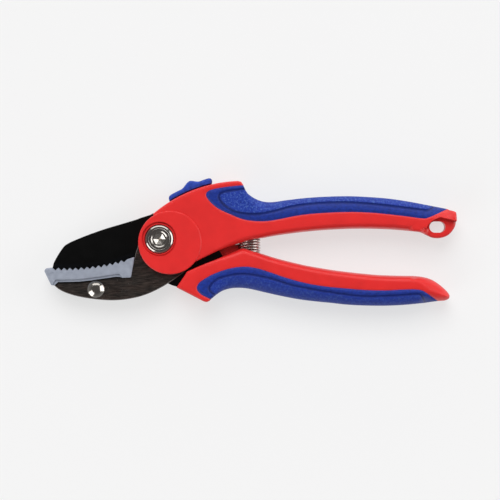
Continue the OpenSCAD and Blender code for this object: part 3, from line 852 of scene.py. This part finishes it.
def make_rivet():
    """The rivet, with a low dome on each plate."""
    sphere = (RIVET_HEAD_R**2 + RIVET_RISE**2) / (2 * RIVET_RISE)
    tilt = math.degrees(math.asin(RIVET_HEAD_R / sphere))
    dome = arc((0, PLATE_OUT + RIVET_RISE - sphere), sphere, 90 - tilt, 90, 24)
    front = [[2.5, PLATE_OUT - 0.05], [4.02, PLATE_OUT - 0.05], *dome.tolist()]
    front[-1][0] = 0
    back = [[r, -z] for r, z in front[::-1]]
    return lathe("anvil_rivet_dome", [[r, MID + z] for r, z in back + front], RIVET, 128, 30)


def make_bolt():
    """The bolt, whose head has a turned groove and a drilled hexagonal socket."""
    top = BOLT_TOP
    shank = [[0, 0.3], [3.5, 0.3], [BOLT_SHANK_R, 0.8], [BOLT_SHANK_R, HEAD_SEAT]]
    head = [
        [6.6, HEAD_SEAT], [BOLT_HEAD_R, HEAD_SEAT + 0.2], [BOLT_HEAD_R, top - 0.46], [6.77, top - 0.37],
        [6.0, top], [5.25, top], [5.15, top - 0.04], [5.05, top], [0, top],
    ]
    bolt = lathe("pivot_bolt_turned", shank + head, PIVOT, 128, 24)
    mouth = lathe("tool", [
        [0, top - 0.26], [3.4, top - 0.26], [4.05, top + 0.02], [4.05, top + 1], [0, top + 1],
    ])
    socket = prism(circle(PIVOT, SOCKET_R, 6), top - SOCKET_DEPTH - MID, top - MID)
    drill = lathe("tool", [[0, top - 3.1], [3.1, top - 1.55], [3.1, top - 1], [0, top - 1]], segments=6)
    cut(bolt, mouth, socket, drill, sharp=15)
    return bolt


def make_slide():
    """The thumb piece, with a foot on the head's crest and a slot for the tongue's stem."""
    loop = counterclockwise(fine(slide_outline, 0.5))
    round_line = fine(slide_outline[30:], 0.5, closed=False)
    inner = fine(slide_outline[:31], 0.5, closed=False)

    def half(p):
        return SLIDE_HALF - fall(p, round_line, SLIDE_ROUND, SLIDE_ROUND) - fall(p, inner, 0.4, 0.4)

    rows = edge_rows(round_line, SLIDE_ROUND) + edge_rows(inner, 0.4, 4)
    piece = slab("lock_slide_moulded", [loop], half, lambda p: -half(p), rows, ridge=0.06)
    foot = fine(sector(CREST, CREST_R + 0.25, CREST_R + 1.5, 103.4, 121), 0.6)
    add(piece, prism(foot, -FOOT_HALF, FOOT_HALF))
    stem = fine(sector(SPINE, SPINE_R - 3, SPINE_R + 1.02, *STEM), 0.6)
    cut(piece, prism(stem, -STEM_HALF, STEM_HALF))
    return piece


def make_spring(low, high, turns, radius, wire):
    """The coil as half turns, each set a little further towards the coil's bottom than the last."""

    halves = []
    count = int(turns * 2)
    sides = 16
    for k in range(count):
        steps = np.linspace(-0.02, 1.02, 26)
        verts = []
        for s in steps:
            turn = math.pi * (k + s)
            y = high + (low - high) * np.clip((k + s) / count, 0, 1)
            for b in np.arange(sides) * 2 * math.pi / sides:
                r = radius + wire * math.cos(b)
                across = SPRING_X + r * math.cos(turn)
                verts.append((across, y + wire * math.sin(b), MID + r * math.sin(turn)))
        faces = [list(range(sides - 1, -1, -1)), list(range(len(verts) - sides, len(verts)))]
        for i in range(len(steps) - 1):
            at = i * sides
            faces += [[at + j, at + (j + 1) % sides, at + sides + (j + 1) % sides, at + sides + j]
                      for j in range(sides)]
        half = mesh_object(f"return_spring_half_turn_{k + 1:02d}", verts, faces, 50)
        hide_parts("return_spring")
        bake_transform(half)
        halves.append(half)
    return halves


blade = make_blade()
front_plate = plate("front_plate_brushed", 1)
rear_plate = plate("rear_plate_brushed", -1)
anvil = make_anvil()
rivet = make_rivet()
bolt = make_bolt()
slide = make_slide()
spring = make_spring(COIL_BOTTOM, COIL_TOP, COIL_TURNS, COIL_R, WIRE_R)

# ---- Materials ----


class Look:
    """A procedural material, whose textures are laid out in millimetres of the frame."""

    def __init__(self, name, colour, roughness, metallic=0.0, shine=0.5):
        self.material = bpy.data.materials.new(name)
        self.material.use_nodes = True
        self.tree = self.material.node_tree
        self.surface = self.tree.nodes["Principled BSDF"]
        self.surface.inputs["Base Color"].default_value = (*colour, 1)
        self.surface.inputs["Roughness"].default_value = roughness
        self.surface.inputs["Metallic"].default_value = metallic
        self.surface.inputs["Specular IOR Level"].default_value = shine
        self.place = self.tree.nodes.new("ShaderNodeTexCoord").outputs["Object"]
        self.height = None

    def link(self, output, target):
        self.tree.links.new(output, target)

    def noise(self, size, detail=2.0, roughness=0.5, stretch=(1, 1, 1)):
        """Noise whose blobs are about size millimetres wide, drawn out by stretch."""
        mapping = self.tree.nodes.new("ShaderNodeMapping")
        mapping.inputs["Scale"].default_value = [1 / (MM * size * s) for s in stretch]
        self.link(self.place, mapping.inputs["Vector"])
        noise = self.tree.nodes.new("ShaderNodeTexNoise")
        noise.inputs["Scale"].default_value = 1
        noise.inputs["Detail"].default_value = detail
        noise.inputs["Roughness"].default_value = roughness
        self.link(mapping.outputs["Vector"], noise.inputs["Vector"])
        return noise.outputs["Fac"]

    def mask(self, name):
        mark_node = self.tree.nodes.new("ShaderNodeAttribute")
        mark_node.attribute_name = name
        return mark_node.outputs["Fac"]

    def maths(self, operation, a, b):
        node = self.tree.nodes.new("ShaderNodeMath")
        node.operation = operation
        for value, socket in ((a, node.inputs[0]), (b, node.inputs[1])):
            if isinstance(value, (int, float)):
                socket.default_value = value
            else:
                self.link(value, socket)
        return node.outputs[0]

    def ramp(self, value, *stops):
        """Colours or greys at positions along a value."""
        node = self.tree.nodes.new("ShaderNodeValToRGB")
        points = node.color_ramp.elements
        while len(points) < len(stops):
            points.new(0.5)
        for point, (position, colour) in zip(points, stops):
            point.position = position
            point.color = (colour, colour, colour, 1) if isinstance(colour, (int, float)) else (*colour, 1)
        self.link(value, node.inputs["Fac"])
        return node.outputs["Color"]

    def mix(self, factor, a, b):
        node = self.tree.nodes.new("ShaderNodeMix")
        node.data_type = "RGBA"
        colours = [s for s in node.inputs if s.type == "RGBA"]
        for value, socket in zip((a, b), colours):
            if isinstance(value, tuple):
                socket.default_value = (*value, 1)
            else:
                self.link(value, socket)
        self.link(factor, node.inputs[0])
        return [s for s in node.outputs if s.type == "RGBA"][0]

    def bump(self, height, depth, strength=1.0):
        """Adds relief of that depth in millimetres on top of any before it."""
        node = self.tree.nodes.new("ShaderNodeBump")
        node.inputs["Distance"].default_value = depth * MM
        if isinstance(strength, (int, float)):
            node.inputs["Strength"].default_value = strength
        else:
            self.link(strength, node.inputs["Strength"])
        self.link(height, node.inputs["Height"])
        if self.height is not None:
            self.link(self.height, node.inputs["Normal"])
        self.height = node.outputs["Normal"]
        self.link(self.height, self.surface.inputs["Normal"])
        return self

    def colour(self, output):
        self.link(output, self.surface.inputs["Base Color"])
        return self

    def roughness(self, output):
        self.link(output, self.surface.inputs["Roughness"])
        return self


def paint(piece, look):
    """Gives a piece one look, in place of any that it had."""
    piece.data.materials.clear()
    piece.data.materials.append(look.material)


def red_nylon():
    look = Look("red_nylon", RED, 0.34, shine=0.5)
    look.colour(look.ramp(look.noise(9, 3), (0.3, [c * 0.94 for c in RED]), (0.7, [c * 1.05 for c in RED])))
    look.roughness(look.ramp(look.noise(2.5, 4), (0.3, 0.3), (0.75, 0.4)))
    return look.bump(look.noise(0.35, 2), 0.012, 0.5).bump(look.noise(3.5, 1), 0.03, 0.35)


def blue_rubber():
    look = Look("blue_grip", BLUE, 0.55, shine=0.4)
    grain = look.mask("grain")
    speckle = look.noise(0.95, 4, 0.65)
    leather = look.noise(1.5, 4, 0.6)
    pale = look.ramp(speckle, (0.36, [c * 0.8 for c in BLUE]), (0.5, [c * 1.3 for c in BLUE]),
                     (0.68, BLUE_PALE))
    plain = look.ramp(leather, (0.35, [c * 0.7 for c in BLUE]), (0.66, [c * 1.1 for c in BLUE]))
    skin = look.mix(look.maths("MULTIPLY", grain, 0.8), plain, pale)
    # Painted shade: the colour goes dark blue in the bottom of the groove.
    look.colour(look.mix(look.maths("MULTIPLY", look.mask("groove"), 0.7), skin, BLUE_GROOVE_SHADE))
    look.roughness(look.ramp(grain, (0, 0.5), (1, 0.62)))
    look.bump(leather, 0.16, 0.6)
    return look.bump(speckle, 0.16, look.ramp(grain, (0, 0.2), (1, 0.9)))


def black_coat():
    look = Look("black_coat", (0.0018, 0.0018, 0.0018), 0.3, shine=0.22)
    look.roughness(look.ramp(look.noise(3, 4), (0.3, 0.3), (0.7, 0.42)))
    return look.bump(look.noise(0.5, 3), 0.02, 0.5)


def plate_steel():
    look = Look("plate_steel", (0.04, 0.034, 0.031), 0.34, 0.75)
    streaks = look.noise(0.3, 3, 0.7, (14, 1, 1))
    cloud = look.noise(3.5, 3, 0.6, (2, 1, 1))
    dark = look.ramp(streaks, (0.34, (0.02, 0.017, 0.016)), (0.68, (0.1, 0.085, 0.076)))
    warm = look.ramp(streaks, (0.34, (0.036, 0.026, 0.022)), (0.68, (0.145, 0.11, 0.095)))
    brushed = look.mix(look.ramp(cloud, (0.4, 0), (0.66, 1)), dark, warm)
    specks = look.ramp(look.noise(0.45, 2), (0.7, 0), (0.76, 1))
    dusted = look.mix(specks, brushed, (0.3, 0.27, 0.25))
    # Painted highlight: the colour turns lighter along the plate's bevelled rim, where the edge mark is
    # set.
    with_rim_highlight = look.mix(look.mask("edge"), dusted, (0.22, 0.2, 0.19))
    # Painted shade: the plate's colour goes near black in the corner under the anvil's ledge.
    look.colour(look.mix(look.maths("MULTIPLY", look.mask("corner"), 0.9), with_rim_highlight, (0.004, 0.004, 0.005)))
    look.roughness(look.ramp(streaks, (0.3, 0.3), (0.7, 0.44)))
    return look.bump(streaks, 0.02, 0.6)


def anvil_alloy():
    look = Look("anvil_alloy", (0.36, 0.4, 0.49), 0.38, 0.25)
    cloud = look.noise(2.2, 4)
    look.colour(look.ramp(cloud, (0.3, (0.31, 0.34, 0.412)), (0.7, (0.37, 0.405, 0.48))))
    look.roughness(look.ramp(cloud, (0.3, 0.42), (0.7, 0.56)))
    return look.bump(look.noise(0.4, 3), 0.03, 0.6)


def bright_steel():
    look = Look("bright_steel", (0.56, 0.53, 0.49), 0.16, 1.0)
    look.roughness(look.ramp(look.noise(0.8, 4), (0.3, 0.1), (0.75, 0.22)))
    return look.bump(look.noise(0.3, 2), 0.006, 0.4)


def spring_steel():
    look = Look("spring_steel", (0.6, 0.56, 0.53), 0.22, 1.0)
    look.roughness(look.ramp(look.noise(0.6, 3), (0.3, 0.18), (0.75, 0.34)))
    return look.bump(look.noise(0.25, 2), 0.006, 0.4)


def bearing_bronze():
    look = Look("bearing_bronze", (0.46, 0.27, 0.11), 0.35, 1.0)
    look.roughness(look.ramp(look.noise(0.8, 3), (0.3, 0.28), (0.75, 0.45)))
    return look.bump(look.noise(0.4, 2), 0.01, 0.5)


def washer_nylon():
    look = Look("washer_nylon", (0.72, 0.7, 0.62), 0.5)
    look.colour(look.ramp(look.noise(3, 3), (0.3, (0.66, 0.64, 0.56)), (0.7, (0.76, 0.74, 0.66))))
    return look.bump(look.noise(0.5, 2), 0.015, 0.5)


def blue_nylon():
    look = Look("blue_nylon", SLIDE_BLUE, 0.48, shine=0.3)
    look.colour(look.ramp(look.noise(2.2, 4, 0.6), (0.35, [c * 0.8 for c in SLIDE_BLUE]),
                          (0.7, [c * 1.3 for c in SLIDE_BLUE])))
    look.roughness(look.ramp(look.noise(0.9, 3), (0.3, 0.42), (0.7, 0.58)))
    return look.bump(look.noise(0.6, 3), 0.04, 0.6)


LOOKS = {
    "red_nylon": red_nylon(), "blue_grip": blue_rubber(), "black_coat": black_coat(),
    "plate_steel": plate_steel(), "anvil_alloy": anvil_alloy(), "bright_steel": bright_steel(),
    "spring_steel": spring_steel(), "bearing_bronze": bearing_bronze(), "washer_nylon": washer_nylon(),
    "blue_nylon": blue_nylon(),
}
PIECES = (
    (upper_handle, "anvil_lever", "upper_handle", "red_nylon"),
    (upper_grip, "anvil_lever", "upper_grip", "blue_grip"),
    (front_plate, "anvil_lever", "front_jaw_plate", "plate_steel"),
    (rear_plate, "anvil_lever", "rear_jaw_plate", "plate_steel"),
    (anvil, "anvil_lever", "anvil", "anvil_alloy"),
    (rivet, "anvil_lever", "anvil_rivet", "bright_steel"),
    (bolt, "anvil_lever", "pivot_bolt", "bright_steel"),
    (blade, "blade_lever", "blade", "black_coat"),
    (lower_handle, "blade_lever", "lower_handle", "red_nylon"),
    (lower_grip, "blade_lever", "lower_grip", "blue_grip"),
    (slide, "lock", "lock_slide", "blue_nylon"),
)
for piece, body, node, slot in PIECES:
    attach(piece, body)
    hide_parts(node)
    paint(piece, LOOKS[slot])
for half in spring:
    paint(half, LOOKS["spring_steel"])
KEPT = (
    ("bolt_washer", "bright_steel"), ("pivot_nut", "bright_steel"), ("nut_washer", "bright_steel"),
    ("front_thrust_washer", "washer_nylon"), ("rear_thrust_washer", "washer_nylon"),
    ("pivot_bush", "bearing_bronze"), ("lock_tongue", "plate_steel"),
    ("lock_detent_spring", "spring_steel"),
)
for node, slot in KEPT:
    paint(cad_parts[node], LOOKS[slot])

# ---- Stage ----

camera_data = bpy.data.cameras.new("camera")
camera_data.sensor_width = SENSOR
camera_data.lens = SENSOR * (CAMERA_HEIGHT - MID) / VIEW_WIDTH
camera = bpy.data.objects.new("camera", camera_data)
camera.location = (VIEW_X * MM, VIEW_Y * MM, CAMERA_HEIGHT * MM)
bpy.context.scene.collection.objects.link(camera)
bpy.context.scene.camera = camera

floor_mesh = bpy.data.meshes.new("floor")
reach = TABLE_HALF * MM
corners = [(-reach, -reach), (reach, -reach), (reach, reach), (-reach, reach)]
floor_mesh.from_pydata([(x, y, TABLE_TOP * MM) for x, y in corners], [], [(0, 1, 2, 3)])
floor = bpy.data.objects.new("floor", floor_mesh)
bpy.context.scene.collection.objects.link(floor)
table = Look("lit_table", (TABLE_GREY,) * 3, 0.9, shine=0.0)
table.surface.inputs["Emission Color"].default_value = (1, 1, 1, 1)
table.surface.inputs["Emission Strength"].default_value = TABLE_GLOW
paint(floor, table)

world = bpy.data.worlds.new("studio")
world.use_nodes = True
sky = world.node_tree
direction = sky.nodes.new("ShaderNodeTexCoord").outputs["Generated"]
parts = sky.nodes.new("ShaderNodeSeparateXYZ")
shade = sky.nodes.new("ShaderNodeValToRGB")
shade.color_ramp.elements[0].position = 0.0
shade.color_ramp.elements[0].color = (0.3, 0.3, 0.3, 1)
shade.color_ramp.elements[1].position = 0.75
shade.color_ramp.elements[1].color = (0.1, 0.095, 0.095, 1)
sky.links.new(direction, parts.inputs[0])
sky.links.new(parts.outputs["Z"], shade.inputs["Fac"])
sky.links.new(shade.outputs["Color"], sky.nodes["Background"].inputs["Color"])
bpy.context.scene.world = world


def aimed(name, data, place):
    """Puts a lamp at a place in millimetres, turned towards the tool's middle."""
    lamp = bpy.data.objects.new(name, data)
    lamp.location = Vector(place) * MM
    lamp.rotation_euler = (Vector(LAMP_AIM) - Vector(place)).to_track_quat("-Z", "Y").to_euler()
    bpy.context.scene.collection.objects.link(lamp)
    return lamp


def wall(name, place, width, height, radiance):
    """A tall soft panel that polished steel mirrors as a bright patch."""
    data = bpy.data.lights.new(name, "AREA")
    data.shape = "RECTANGLE"
    data.size = width * MM
    data.size_y = height * MM
    data.energy = radiance * math.pi * data.size * data.size_y
    return aimed(name, data, place)


key_data = bpy.data.lights.new("key", "SUN")
key_data.energy = KEY
key_data.angle = math.radians(40)
key = aimed("key", key_data, (-60, 560, 900))
key.visible_glossy = False
wall("right_wall", (2200, 250, 1100), 2200, 2000, WALL_LIGHT)
wall("left_wall", (-1600, -1450, 1100), 1700, 2000, WALL_LIGHT)
wall("far_wall", (-250, 2200, 330), 2900, 600, WALL_LIGHT)
wall("back_panel", (0, 1700, 1430), 2700, 700, PANEL_LIGHT)
bpy.context.scene.view_settings.view_transform = "Standard"
